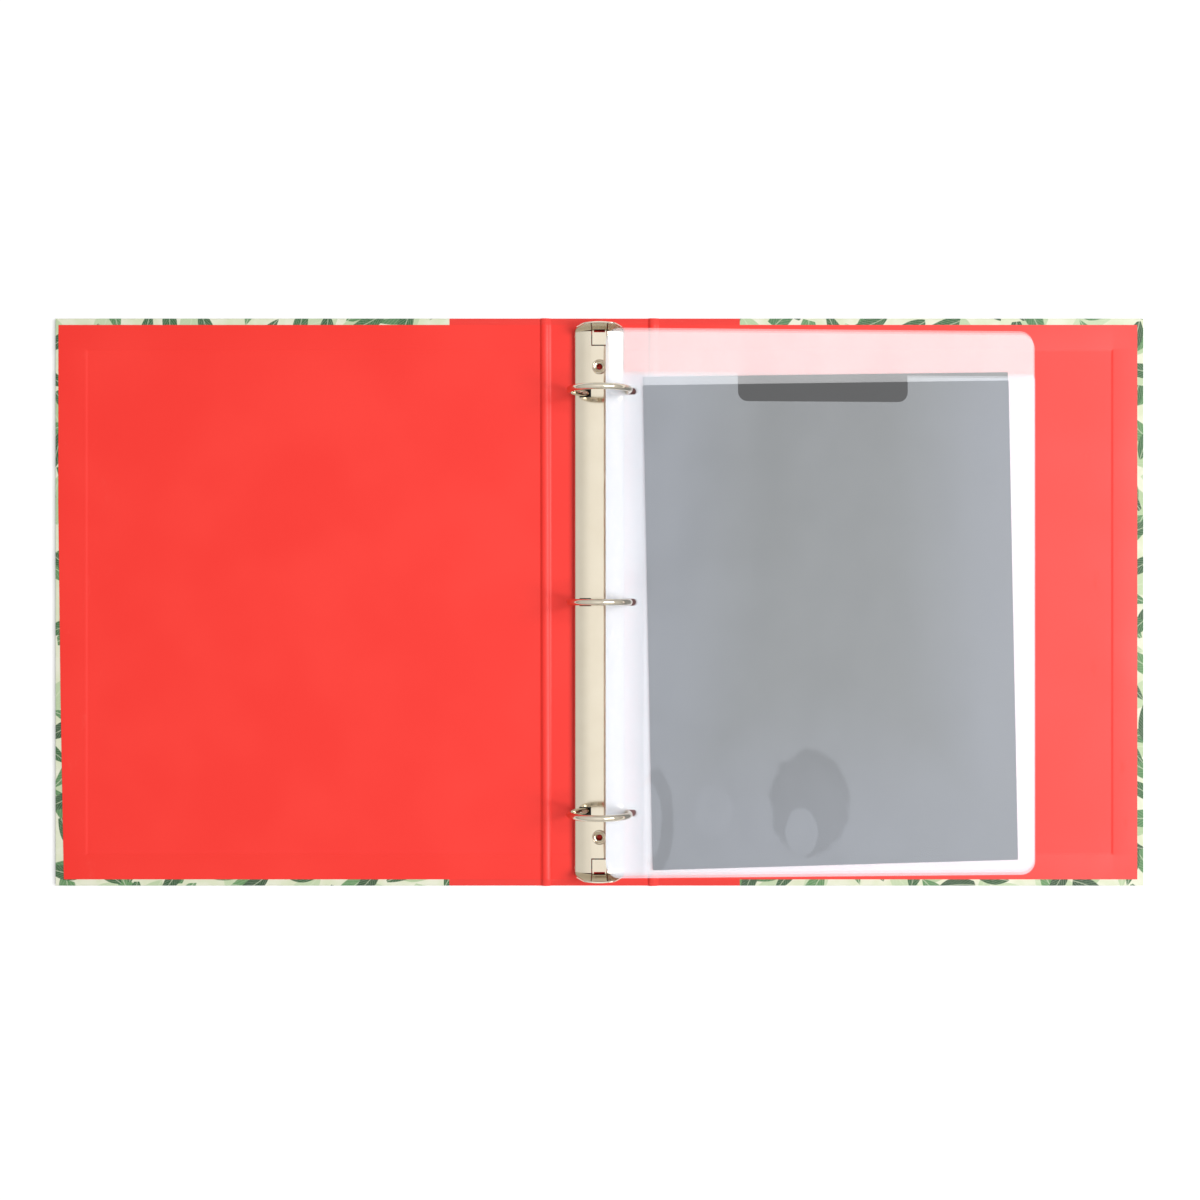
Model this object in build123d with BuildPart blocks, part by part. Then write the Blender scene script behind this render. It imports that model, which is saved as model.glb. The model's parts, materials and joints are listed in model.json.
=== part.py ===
"""Three-ring album for collected cards, lying open and flat.

A quarter-bound board case (front cover, spine, back cover) carries a nickel-plated ring
mechanism, and the rings hold three top-loading pocket pages with a backing card in each.

Frame: X runs across the open case, front cover at -X and back cover at +X.  Y runs along
the spine towards its head.  Z is up.  The origin is under the middle of the spine, on the
surface that the case lies on.  Sizes are in millimetres and angles in degrees.
"""
import os
from math import asin, atan2, cos, degrees, hypot, radians, sin, sqrt

from build123d import *

# Case: three boards, their covering and their lining
case_width = 566.0  # across both covers, open flat
case_height = 295.0  # head to tail
spine_width = 50.0
groove_width = 6.0  # bare hinge between two boards
board_thickness = 2.4
sheet_thickness = 0.25  # covering paper, spine cloth and lining alike
turn_in = 15.0  # covering folded over the board's edge and glued inside
front_cloth_reach = 78.0  # spine cloth over the front cover, from the middle of the spine
back_cloth_reach = 73.0
lining_margin = 3.4  # covering left bare round the lining
lining_skew = 2.2  # the front lining was glued down slightly out of square
lining_step = 0.4  # width over which the lining climbs onto the turned-in covering
edge_round = 0.5

# Ring mechanism
shield_width = 26.0
shield_length = 280.0
shield_height = 5.4  # crown of the arch above its seat
shoulder_height = 3.1  # where the arch meets the upright sides
shoulder_round = 1.6
metal_thickness = 0.8  # shield and blades
rim_lip = 1.3  # edge of the shield curled in under the blades
rim_lip_thickness = 0.5
blade_length = 262.0
blade_pivot_height = 1.4  # above the shield's seat
blade_side_gap = 0.4  # between a blade's outer edge and the shield's side
blade_middle_gap = 0.15  # between a blade's inner edge and the middle
closed_tilt = 3.0  # blades dip this much towards the middle when the rings are shut
opening_angle = 12.0  # swing of each blade and its half rings
ring_spacing = 107.95
ring_diameter = 34.0  # outside
wire_diameter = 3.2
wire_root = 6.4  # where a half ring stands on its blade, from the middle
wire_bend = 2.0  # radius of the bend above that root
wire_bend_height = 2.76  # centre of that bend above the shield's seat
wire_slot_gap = 0.5
tip_length = 1.3  # pointed end of a left half ring
tip_gap = 0.12
joint_overcut = 1.0  # the tip's point is cut wider than the wire
rivet_spacing = 243.0
rivet_radius = 2.2
rivet_bore = 1.5
rivet_roll_radius = 3.5
rivet_roll_height = 0.8
rivet_head_radius = 4.5
rivet_head_thickness = 0.6
rivet_gap = 0.05  # round the rivet in the shield, lining and board
blade_rivet_gap = 0.8  # round the rivet where the blades rock past it

# Opening levers at both ends of the mechanism
lever_pivot_inset = 2.4  # pin behind the shield's end
lever_pivot_height = 1.8
lever_pin_radius = 0.8
lever_pin_gap = 0.05
lever_pin_recess = 0.1  # pin end below the shield's side
lever_reach = 4.6  # jaws ahead of the pin
lever_jaw = 3.6  # half width
lever_jaw_length = 1.4
lever_jaw_thickness = 0.5
lever_jaw_height = 0.25  # above the shield's seat
cheek_thickness = 0.7
tongue_sink = 0.2  # top of the lever below the crown
tongue_stop = 0.6  # end of the lever's top, behind the shield's end
tongue_overhang = 0.1  # top of the lever past its cheeks
window_gap = 0.5  # between the lever's top and the window's side
tab_gap = 0.6  # between the tab and the shield's end
tab_base_height = 2.1
tab_slope = 22.5  # lean away from upright
tab_length = 14.0
tab_shoulder = 5.0  # full-width part of the tab
tab_tip_width = 13.0
tab_thickness = 0.9
tab_corner = 1.8
catch_width = 2.0  # blade tongue held between the lever's jaws
catch_low = 1.1
catch_thickness = 0.8
catch_riser = 0.8

# Pocket pages, each two films welded round a card
page_count = 3
page_width = 220.6
page_height = 279.4
page_corner = 7.2
page_shift = (-1.4, -0.2, 1.0)  # each page along the spine, top page first
film_thickness = 0.2
pocket_depth = 0.5
page_gap = 0.3  # between two pages
page_rest_gap = 0.3  # under the lowest page's far edge
page_drop = 6.15  # lowest page's underside below the ring centre
hole_offset = 12.7  # ring holes from the binding edge
hole_play = 2.65  # round the ring wire
binding_strip = 19.0
seam_width = 2.2
pocket_mouth = 22.5  # below the page's head edge
notch_width = 88.0
notch_depth = 12.7
notch_corner = 5.0
notch_shift = 1.5
card_side_play = 9.9  # pocket wider than the card
card_end_play = 6.7  # pocket taller than the card
card_face_play = 0.14  # pocket deeper than the card
card_turn = 1.15  # the cards sit slightly turned in their pockets
card_shift = -2.3  # card centre from the pocket's centre
card_lift = (1.8, 5.1, 2.1)  # lowest corner above the tail seam, top page first

# Worked-out places
case_thickness = board_thickness + 2 * sheet_thickness
board_top = sheet_thickness + board_thickness
lining_top = case_thickness + sheet_thickness  # where it lies over turned-in covering
half_width = case_width / 2
half_height = case_height / 2
half_spine = spine_width / 2
cover_start = half_spine + groove_width
shield_end = shield_length / 2


def lining_height(reach):
    """Top of the lining under a piece that runs this far along the spine from its middle."""
    return lining_top if reach > half_height - turn_in else case_thickness


seat = lining_height(shield_end)
crown = seat + shield_height
inner_side = shield_width / 2 - metal_thickness
ring_stations = [-ring_spacing, 0.0, ring_spacing]
ring_radius = (ring_diameter - wire_diameter) / 2
wire_radius = wire_diameter / 2
bend_x = wire_root + wire_bend
bend_z = seat + wire_bend_height
ring_z = bend_z + sqrt((ring_radius + wire_bend) ** 2 - bend_x**2)
blade_pivot_x = inner_side - blade_side_gap - metal_thickness / 2
blade_pivot_z = seat + blade_pivot_height
pin_y = shield_end - lever_pivot_inset
pin_z = seat + lever_pivot_height
jaw_y = pin_y - lever_reach

os.makedirs("parts", exist_ok=True)


def save(piece, name):
    """Label a finished piece and write it to its own file."""
    piece.part.label = name
    export_step(piece.part, f"parts/{name}.step")


def span(side, near, far):
    """Middle of a stretch that runs outward from near to far on one side."""
    return side * (near + far) / 2


# ---------------------------------------------------------------- case


def board(side, near, far, riveted=False):
    """Greyboard panel, as tall as the case inside its covering."""
    with BuildPart() as panel:
        with BuildSketch(Plane.XY.offset(sheet_thickness)):
            with Locations((span(side, near, far), 0)):
                Rectangle(far - near, case_height - 2 * sheet_thickness)
        extrude(amount=board_thickness)
        if riveted:
            with BuildSketch(Plane.XY.offset(sheet_thickness)):
                with GridLocations(0, rivet_spacing, 1, 2):
                    Circle(rivet_radius + rivet_gap)
            extrude(amount=board_thickness, mode=Mode.SUBTRACT)
            with BuildSketch(Plane.XY.offset(sheet_thickness)):
                with GridLocations(0, rivet_spacing, 1, 2):
                    Circle(rivet_head_radius + rivet_gap)
            extrude(amount=rivet_head_thickness, mode=Mode.SUBTRACT)
    return panel


def covering(side, near, far, at_edge=False):
    """Sheet round a board, turned in at head and tail, and at its outer edge if at_edge."""
    edge_wall = sheet_thickness if at_edge else 0
    edge_turn = turn_in if at_edge else 0
    with BuildPart() as sheet:
        with BuildSketch(Plane.XY):
            with Locations((span(side, near, far), 0)):
                Rectangle(far - near, case_height)
        extrude(amount=case_thickness)
        outside = sheet.edges().filter_by(Axis.X)
        if at_edge:
            outside += sheet.edges().filter_by(Axis.Y).sort_by(Axis.X, reverse=side > 0)[:2]
        fillet(outside, edge_round)
        with BuildSketch(Plane.XY.offset(sheet_thickness)):
            with Locations((span(side, near, far - edge_wall), 0)):
                Rectangle(far - near - edge_wall, case_height - 2 * sheet_thickness)
        extrude(amount=board_thickness, mode=Mode.SUBTRACT)
        with BuildSketch(Plane.XY.offset(board_top)):
            with Locations((span(side, near, far - edge_turn), 0)):
                Rectangle(far - near - edge_turn, case_height - 2 * turn_in)
        extrude(amount=sheet_thickness, mode=Mode.SUBTRACT)
    return sheet


def lining(side, near, far, at_edge=False, skew=0.0, riveted=False):
    """Inside paper: glued to the board in the middle, and over the turned-in covering."""
    edge_turn = turn_in if at_edge else 0
    edge_step = lining_step if at_edge else 0
    edge_margin = lining_margin if at_edge else 0
    outer = far - edge_margin
    head = half_height - lining_margin
    with BuildPart() as paper:
        with BuildSketch(Plane.XY.offset(board_top)):
            with Locations((span(side, near, far - edge_turn), 0)):
                Rectangle(far - near - edge_turn, case_height - 2 * turn_in)
        extrude(amount=sheet_thickness)
        with BuildSketch(Plane.XY.offset(case_thickness)):
            with BuildLine():
                Polyline(
                    (side * near, head),
                    (side * outer, head),
                    (side * (outer - skew), -head),
                    (side * near, -head),
                    close=True,
                )
            make_face()
            with Locations((span(side, near, far - edge_turn - edge_step), 0)):
                Rectangle(
                    far - near - edge_turn - edge_step,
                    case_height - 2 * (turn_in + lining_step),
                    mode=Mode.SUBTRACT,
                )
        extrude(amount=sheet_thickness)
        if riveted:
            with BuildSketch(Plane.XY.offset(board_top)):
                with GridLocations(0, rivet_spacing, 1, 2):
                    Circle(rivet_radius + rivet_gap)
            extrude(amount=2 * sheet_thickness, mode=Mode.SUBTRACT)
    return paper


def hinge_cloth(side):
    """Spine cloth across a groove, with its turned-in ends."""
    with BuildPart() as strip:
        with BuildSketch(Plane.XY):
            with Locations((span(side, half_spine, cover_start), 0)):
                Rectangle(groove_width, case_height)
        extrude(amount=sheet_thickness)
        with BuildSketch(Plane.XY.offset(sheet_thickness)):
            with Locations((span(side, half_spine, cover_start), 0)):
                with GridLocations(0, case_height - lining_margin, 1, 2):
                    Rectangle(groove_width, lining_margin)
        extrude(amount=sheet_thickness)
    return strip


def hinge_lining(side):
    """Inside paper pressed into a groove, against the cloth."""
    with BuildPart() as strip:
        with BuildSketch(Plane.XY.offset(sheet_thickness)):
            with Locations((span(side, half_spine, cover_start), 0)):
                Rectangle(groove_width, case_height - 2 * lining_margin)
        extrude(amount=sheet_thickness)
    return strip


def build_case():
    """Boards, covering and lining of the spine and of both covers."""
    save(board(1, -half_spine, half_spine, riveted=True), "spine_board")
    save(covering(1, -half_spine, half_spine), "spine_cloth")
    save(lining(1, -half_spine, half_spine, riveted=True), "spine_lining")
    for name, side, reach, skew in (
        ("front", -1, front_cloth_reach, lining_skew),
        ("back", 1, back_cloth_reach, 0.0),
    ):
        save(board(side, cover_start, half_width - sheet_thickness), f"{name}_board")
        save(covering(side, cover_start, reach), f"{name}_cloth_flap")
        save(covering(side, reach, half_width, at_edge=True), f"{name}_cover_paper")
        save(lining(side, cover_start, half_width, at_edge=True, skew=skew), f"{name}_lining")
        save(hinge_cloth(side), f"{name}_hinge_cloth")
        save(hinge_lining(side), f"{name}_hinge_lining")


# ---------------------------------------------------------------- ring mechanism

wire_slot_start = wire_root - wire_radius - wire_slot_gap
lower_wire = ring_radius + wire_radius
slot_sheet = crown - metal_thickness - wire_slot_gap  # where the ring's underside leaves the sheet
wire_slot_end = sqrt(lower_wire**2 - (ring_z - slot_sheet) ** 2) + wire_slot_gap
tongue_half = lever_jaw + tongue_overhang
window_half = tongue_half + window_gap
window_length = lever_pivot_inset + lever_reach + tab_gap


def arched_outline(half, shoulder, top):
    """Upright sides under a shallow arch, in the plane across the spine."""
    Line((-half, seat), (-half, shoulder))
    ThreePointArc((-half, shoulder), (0, top), (half, shoulder))
    Line((half, shoulder), (half, seat))
    Line((half, seat), (-half, seat))


def build_shield():
    """Arched cover of the mechanism, which holds the blades in its curled rims."""
    outer = shield_width / 2
    shoulder = seat + shoulder_height
    with BuildPart() as shield:
        with BuildSketch(Plane.XZ):
            with BuildLine():
                arched_outline(outer, shoulder, crown)
            make_face()
        extrude(amount=shield_end, both=True)
        fillet(shield.edges().filter_by(Axis.Y).group_by(Axis.Z)[-1], shoulder_round)
        with BuildSketch(Plane.XZ):
            with BuildLine():
                arched_outline(inner_side, shoulder - metal_thickness, crown - metal_thickness)
            make_face()
        extrude(amount=shield_end, both=True, mode=Mode.SUBTRACT)
        with BuildSketch(Plane.XZ):
            for side in (-1, 1):
                with Locations((side * (inner_side - rim_lip / 2), seat + rim_lip_thickness / 2)):
                    Rectangle(rim_lip, rim_lip_thickness)
        extrude(amount=shield_end, both=True)
        with BuildSketch(Plane.XY.offset(crown)):
            for side in (-1, 1):
                with Locations((span(side, wire_slot_start, wire_slot_end), 0)):
                    with GridLocations(0, ring_spacing, 1, len(ring_stations)):
                        Rectangle(
                            wire_slot_end - wire_slot_start, wire_diameter + 2 * wire_slot_gap
                        )
            with GridLocations(0, rivet_spacing, 1, 2):
                Circle(rivet_radius + rivet_gap)
            with GridLocations(0, shield_length - window_length, 1, 2):
                Rectangle(2 * window_half, window_length)
        extrude(amount=-(shield_height - shoulder_height + metal_thickness), mode=Mode.SUBTRACT)
        with BuildSketch(Plane.YZ):
            with Locations((-pin_y, pin_z), (pin_y, pin_z)):
                Circle(lever_pin_radius + lever_pin_gap)
        extrude(amount=outer, both=True, mode=Mode.SUBTRACT)
    save(shield, "shield")


def build_rivets():
    """Tubular rivets: a flat head under the spine cloth, a bored neck and a rolled top."""
    for name, y in (("head_rivet", rivet_spacing / 2), ("tail_rivet", -rivet_spacing / 2)):
        with BuildPart() as rivet:
            with BuildSketch(Plane.XZ.offset(-y)):
                with BuildLine():
                    Polyline(
                        (rivet_bore, sheet_thickness),
                        (rivet_head_radius, sheet_thickness),
                        (rivet_head_radius, sheet_thickness + rivet_head_thickness),
                        (rivet_radius, sheet_thickness + rivet_head_thickness),
                        (rivet_radius, crown),
                        (rivet_roll_radius, crown),
                        (rivet_roll_radius, crown + rivet_roll_height / 2),
                        (rivet_roll_radius - rivet_roll_height / 2, crown + rivet_roll_height),
                        (rivet_radius, crown + rivet_roll_height),
                        (rivet_bore, crown + rivet_roll_height / 2),
                        close=True,
                    )
                make_face()
            revolve(axis=Axis((0, y, 0), (0, 0, 1)))
        save(rivet, name)


def blade(side):
    """Toggle blade: it rocks in the shield's rim, and carries three half rings."""
    inner_x = blade_middle_gap + metal_thickness / 2
    reach = (blade_pivot_x - inner_x) / cos(radians(closed_tilt))
    middle_z = blade_pivot_z - reach / 2 * sin(radians(closed_tilt))
    tongue_end = jaw_y + lever_jaw_length
    catch_z = seat + catch_low
    with BuildPart() as plate:
        with BuildSketch(Plane.XZ):
            with Locations((span(side, inner_x, blade_pivot_x), middle_z)):
                SlotCenterToCenter(reach, metal_thickness, rotation=side * closed_tilt)
        extrude(amount=blade_length / 2, both=True)
        with BuildSketch(Plane.XY.offset(seat)):
            with GridLocations(0, rivet_spacing, 1, 2):
                Circle(rivet_radius + blade_rivet_gap)
        extrude(amount=shoulder_height, mode=Mode.SUBTRACT)
        for end in (-1, 1):
            with BuildSketch(Plane.XY.offset(catch_z)):
                with Locations((
                    span(side, blade_middle_gap, blade_middle_gap + catch_width),
                    span(end, blade_length / 2 - catch_riser, tongue_end),
                )):
                    Rectangle(catch_width, tongue_end - blade_length / 2 + catch_riser)
            extrude(amount=catch_thickness)
            with BuildSketch(Plane.XY.offset(catch_z)):
                with Locations((
                    span(side, blade_middle_gap, blade_middle_gap + catch_width),
                    span(end, blade_length / 2 - catch_riser, blade_length / 2),
                )):
                    Rectangle(catch_width, catch_riser)
            extrude(amount=-metal_thickness / 2)
    return plate


def half_ring(side, y, carrier):
    """Half a ring: its root stands on the blade, and its tip meets the other half."""
    lean = degrees(atan2(ring_z - bend_z, bend_x))
    root_z = blade_pivot_z - (blade_pivot_x - wire_root) * sin(radians(closed_tilt))
    overrun = degrees(asin((tip_length + wire_radius) / ring_radius))
    joint_depth = wire_radius + joint_overcut
    with BuildPart() as half:
        with BuildLine(Plane.XZ.offset(-y)) as wire:
            Line((wire_root, root_z), (wire_root, bend_z))
            CenterArc((bend_x, bend_z), wire_bend, 180, -lean)
            CenterArc((0, ring_z), ring_radius, -lean, lean + 90 + overrun)
        with BuildSketch(Plane(origin=(wire_root, y, root_z), z_dir=(0, 0, 1))):
            Circle(wire_radius)
        sweep(path=wire.line)
        if side < 0:
            mirror(about=Plane.YZ, mode=Mode.REPLACE)
        point_x = tip_gap if side > 0 else 0.0
        beyond = -side * ring_radius
        with BuildSketch(Plane.XY.offset(ring_z)):
            with BuildLine():
                Polyline(
                    (point_x, y - joint_depth),
                    (point_x + tip_length, y),
                    (point_x, y + joint_depth),
                    (beyond, y + joint_depth),
                    (beyond, y - joint_depth),
                    close=True,
                )
            make_face()
        extrude(amount=ring_diameter, mode=Mode.SUBTRACT)
        add(carrier.part, mode=Mode.SUBTRACT)
    return half


def build_blades_and_rings():
    """Both blades, and the half rings that stand on them."""
    for name, side in (("left", -1), ("right", 1)):
        carrier = blade(side)
        save(carrier, f"{name}_blade")
        for place, y in zip(("tail", "middle", "head"), ring_stations):
            save(half_ring(side, y, carrier), f"{place}_ring_{name}_half")


def lever(end):
    """Opening lever: a tab outside the shield, and jaws that catch the blades' tongues."""
    low = seat + lever_jaw_height
    top = crown - tongue_sink
    underside = top - metal_thickness
    tab_y = shield_end + tab_gap
    tab_z = seat + tab_base_height
    lean = radians(tab_slope)
    tab_plane = Plane(
        origin=(0, tab_y, tab_z), x_dir=(1, 0, 0), z_dir=(0, -cos(lean), sin(lean))
    )
    with BuildPart() as arm:
        for side in (-1, 1):
            with BuildSketch(Plane.YZ.offset(side * (lever_jaw - cheek_thickness / 2))):
                with BuildLine():
                    Polyline(
                        (jaw_y, low),
                        (pin_y, low),
                        (tab_y + tab_thickness, tab_z),
                        (tab_y + tab_thickness, underside),
                        (jaw_y, underside),
                        close=True,
                    )
                make_face()
                with Locations((pin_y, pin_z)):
                    Circle(lever_pin_radius + lever_pin_gap, mode=Mode.SUBTRACT)
            extrude(amount=cheek_thickness / 2, both=True)
        with BuildSketch(Plane.XY.offset(underside)):
            with Locations((0, (jaw_y + shield_end - tongue_stop) / 2)):
                Rectangle(2 * tongue_half, shield_end - tongue_stop - jaw_y)
        extrude(amount=metal_thickness)
        with BuildSketch(Plane.XY.offset(low)):
            with Locations((0, jaw_y + lever_jaw_length / 2)):
                Rectangle(2 * lever_jaw, lever_jaw_length)
        extrude(amount=lever_jaw_thickness)
        with BuildSketch(tab_plane) as tab:
            with BuildLine():
                Polyline(
                    (-shield_width / 2, 0),
                    (shield_width / 2, 0),
                    (shield_width / 2, tab_shoulder),
                    (tab_tip_width / 2, tab_length),
                    (-tab_tip_width / 2, tab_length),
                    (-shield_width / 2, tab_shoulder),
                    close=True,
                )
            make_face()
            fillet(tab.vertices(), tab_corner)
        extrude(amount=-tab_thickness)
        if end < 0:
            mirror(about=Plane.XZ, mode=Mode.REPLACE)
    return arm


def build_levers():
    """A lever and its pin at each end of the shield."""
    for name, end in (("head", 1), ("tail", -1)):
        save(lever(end), f"{name}_lever")
        with BuildPart() as pin:
            with BuildSketch(Plane.YZ):
                with Locations((end * pin_y, pin_z)):
                    Circle(lever_pin_radius)
            extrude(amount=shield_width / 2 - lever_pin_recess, both=True)
        save(pin, f"{name}_lever_pin")


# ---------------------------------------------------------------- pages


def wire_crossing(drop, swing):
    """Where the wire passes through a page plane that lies drop below the ring centre.

    The answer is measured along the page, with the half rings swung open by swing.
    """
    arm_x, arm_z = -blade_pivot_x, ring_z - blade_pivot_z
    turn = radians(swing)
    centre_x = blade_pivot_x + arm_x * cos(turn) + arm_z * sin(turn)
    centre_rise = arm_z * cos(turn) - arm_x * sin(turn) - arm_z
    return centre_x + sqrt(ring_radius**2 - (drop + centre_rise) ** 2)


page_thickness = 2 * film_thickness + pocket_depth
page_pitch = page_thickness + page_gap
middle_drop = page_drop - page_pitch * (page_count - 1) / 2 - page_thickness / 2
# The holes lie halfway between the wire's places with the rings shut and open.
hole_reach = (wire_crossing(middle_drop, 0) + wire_crossing(middle_drop, opening_angle)) / 2
hole_radius = wire_radius + hole_play
binding_edge = hole_reach - hole_offset
fore_edge = binding_edge + page_width
page_middle = binding_edge + page_width / 2
# The pages slope from the rings down to the back cover's lining.
page_fall = ring_z - lining_height(page_height / 2) - page_rest_gap
page_slope = asin(page_fall / hypot(fore_edge, page_drop)) - atan2(page_drop, fore_edge)
strip_end = binding_edge + binding_strip
pocket_width = page_width - binding_strip - seam_width
card_width = pocket_width - card_side_play
card_height = page_height - pocket_mouth - seam_width - card_end_play
card_thickness = pocket_depth - card_face_play
card_tilt = radians(card_turn)
card_half_rise = (card_height * cos(card_tilt) + card_width * sin(card_tilt)) / 2


def page_plane(index):
    """Underside of one page, from below the ring centre towards the fore edge."""
    normal = Vector(sin(page_slope), 0, cos(page_slope))
    drop = page_drop - (page_count - 1 - index) * page_pitch
    return Plane(
        origin=Vector(0, 0, ring_z) - normal * drop,
        x_dir=(cos(page_slope), 0, -sin(page_slope)),
        z_dir=normal,
    )


def page_outline(shift):
    """Rounded sheet, in the sketch that is open."""
    with Locations((page_middle, shift)):
        RectangleRounded(page_width, page_height, page_corner)


def ring_holes():
    """Holes for the rings, taken out of the sketch that is open."""
    with Locations((hole_reach, 0)):
        with GridLocations(0, ring_spacing, 1, len(ring_stations)):
            Circle(hole_radius, mode=Mode.SUBTRACT)


def keep_strip(near, far, low, high):
    """Trim the sketch that is open to one upright rectangle."""
    with Locations(((near + far) / 2, (low + high) / 2)):
        Rectangle(far - near, high - low, mode=Mode.INTERSECT)


def build_page(index):
    """Backing film, pocket film, the welds between them, and the card in the pocket."""
    number = index + 1
    shift = page_shift[index]
    tail = shift - page_height / 2
    mouth = shift + page_height / 2 - pocket_mouth
    plane = page_plane(index)
    weld_plane = plane.offset(film_thickness)
    card_centre = (
        strip_end + pocket_width / 2 + card_shift,
        tail + seam_width + card_lift[index] + card_half_rise,
    )

    with BuildPart() as backing:
        with BuildSketch(plane):
            page_outline(shift)
            ring_holes()
        extrude(amount=film_thickness)
    save(backing, f"page_{number}_backing_film")

    with BuildPart() as pocket:
        with BuildSketch(weld_plane.offset(pocket_depth)) as front:
            page_outline(shift)
            keep_strip(binding_edge, fore_edge, tail, mouth)
            with Locations((page_middle + notch_shift, mouth)):
                Rectangle(notch_width, 2 * notch_depth, mode=Mode.SUBTRACT)
            fillet(front.vertices().group_by(Axis.Y)[-2], notch_corner)
            ring_holes()
        extrude(amount=film_thickness)
    save(pocket, f"page_{number}_pocket_film")

    with BuildPart() as strip:
        with BuildSketch(weld_plane):
            page_outline(shift)
            keep_strip(binding_edge, strip_end, tail, mouth)
            ring_holes()
        extrude(amount=pocket_depth)
    save(strip, f"page_{number}_binding_strip")

    for name, near, low, high in (
        ("tail_seam", strip_end, tail, tail + page_corner),
        ("side_seam", page_middle, tail + page_corner, mouth),
    ):
        with BuildPart() as seam:
            with BuildSketch(weld_plane):
                page_outline(shift)
                with Locations((page_middle, shift)):
                    RectangleRounded(
                        page_width - 2 * seam_width,
                        page_height - 2 * seam_width,
                        page_corner - seam_width,
                        mode=Mode.SUBTRACT,
                    )
                keep_strip(near, fore_edge, low, high)
            extrude(amount=pocket_depth)
        save(seam, f"page_{number}_{name}")

    with BuildPart() as card:
        with BuildSketch(weld_plane.offset(card_face_play / 2)):
            with Locations(card_centre):
                Rectangle(card_width, card_height, rotation=card_turn)
        extrude(amount=card_thickness)
    save(card, f"card_{number}")


build_case()
build_shield()
build_rivets()
build_blades_and_rings()
build_levers()
for page_index in range(page_count):
    build_page(page_index)
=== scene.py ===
"""Looks of the ring album: finishes, studio, and the pieces that are modelled by hand."""
import json
from math import cos, pi, radians, sin

import bmesh
import bpy
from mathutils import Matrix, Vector


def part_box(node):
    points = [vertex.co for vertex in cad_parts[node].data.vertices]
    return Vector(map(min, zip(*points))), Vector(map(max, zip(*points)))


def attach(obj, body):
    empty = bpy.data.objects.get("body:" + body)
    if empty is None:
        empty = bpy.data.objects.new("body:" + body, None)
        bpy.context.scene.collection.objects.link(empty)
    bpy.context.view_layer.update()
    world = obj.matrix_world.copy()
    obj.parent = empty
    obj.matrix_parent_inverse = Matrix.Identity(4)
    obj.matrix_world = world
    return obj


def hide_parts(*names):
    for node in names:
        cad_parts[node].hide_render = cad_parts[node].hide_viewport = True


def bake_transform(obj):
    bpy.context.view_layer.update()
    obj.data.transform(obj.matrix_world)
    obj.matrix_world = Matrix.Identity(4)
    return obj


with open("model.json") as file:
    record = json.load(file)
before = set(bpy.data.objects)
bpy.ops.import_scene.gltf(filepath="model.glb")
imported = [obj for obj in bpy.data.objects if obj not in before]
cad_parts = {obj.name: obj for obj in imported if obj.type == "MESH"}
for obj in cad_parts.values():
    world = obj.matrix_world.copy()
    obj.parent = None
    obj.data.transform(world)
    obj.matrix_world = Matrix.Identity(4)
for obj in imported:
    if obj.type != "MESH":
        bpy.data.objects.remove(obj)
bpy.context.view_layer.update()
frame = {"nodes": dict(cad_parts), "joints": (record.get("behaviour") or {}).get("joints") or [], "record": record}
nodes = frame["nodes"]

MM = 0.001

# ---------------------------------------------------------------- sizes read off the frame

back_board_low, back_board_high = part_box("back_board")
cover_start = back_board_low.x
board_top = back_board_high.z
cover_end, half_height, case_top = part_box("back_cover_paper")[1]
half_spine, lining_end, lining_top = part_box("spine_lining")[1]
shield_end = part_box("shield")[1].y
paper = 0.25 * MM


# ---------------------------------------------------------------- materials


class Value:
    """A number or colour that varies over a surface. Sums on it add Math nodes."""

    def __init__(self, finish, socket):
        self.finish = finish
        self.socket = socket

    def maths(self, operation, *terms):
        return self.finish.add("ShaderNodeMath", {"operation": operation}, dict(enumerate(terms)))

    def __add__(self, other):
        return self.maths("ADD", self, other)

    def __radd__(self, other):
        return self.maths("ADD", other, self)

    def __sub__(self, other):
        return self.maths("SUBTRACT", self, other)

    def __rsub__(self, other):
        return self.maths("SUBTRACT", other, self)

    def __mul__(self, other):
        return self.maths("MULTIPLY", self, other)

    def __rmul__(self, other):
        return self.maths("MULTIPLY", other, self)

    def __truediv__(self, other):
        return self.maths("DIVIDE", self, other)

    def __rtruediv__(self, other):
        return self.maths("DIVIDE", other, self)

    def __abs__(self):
        return self.maths("ABSOLUTE", self)


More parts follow.
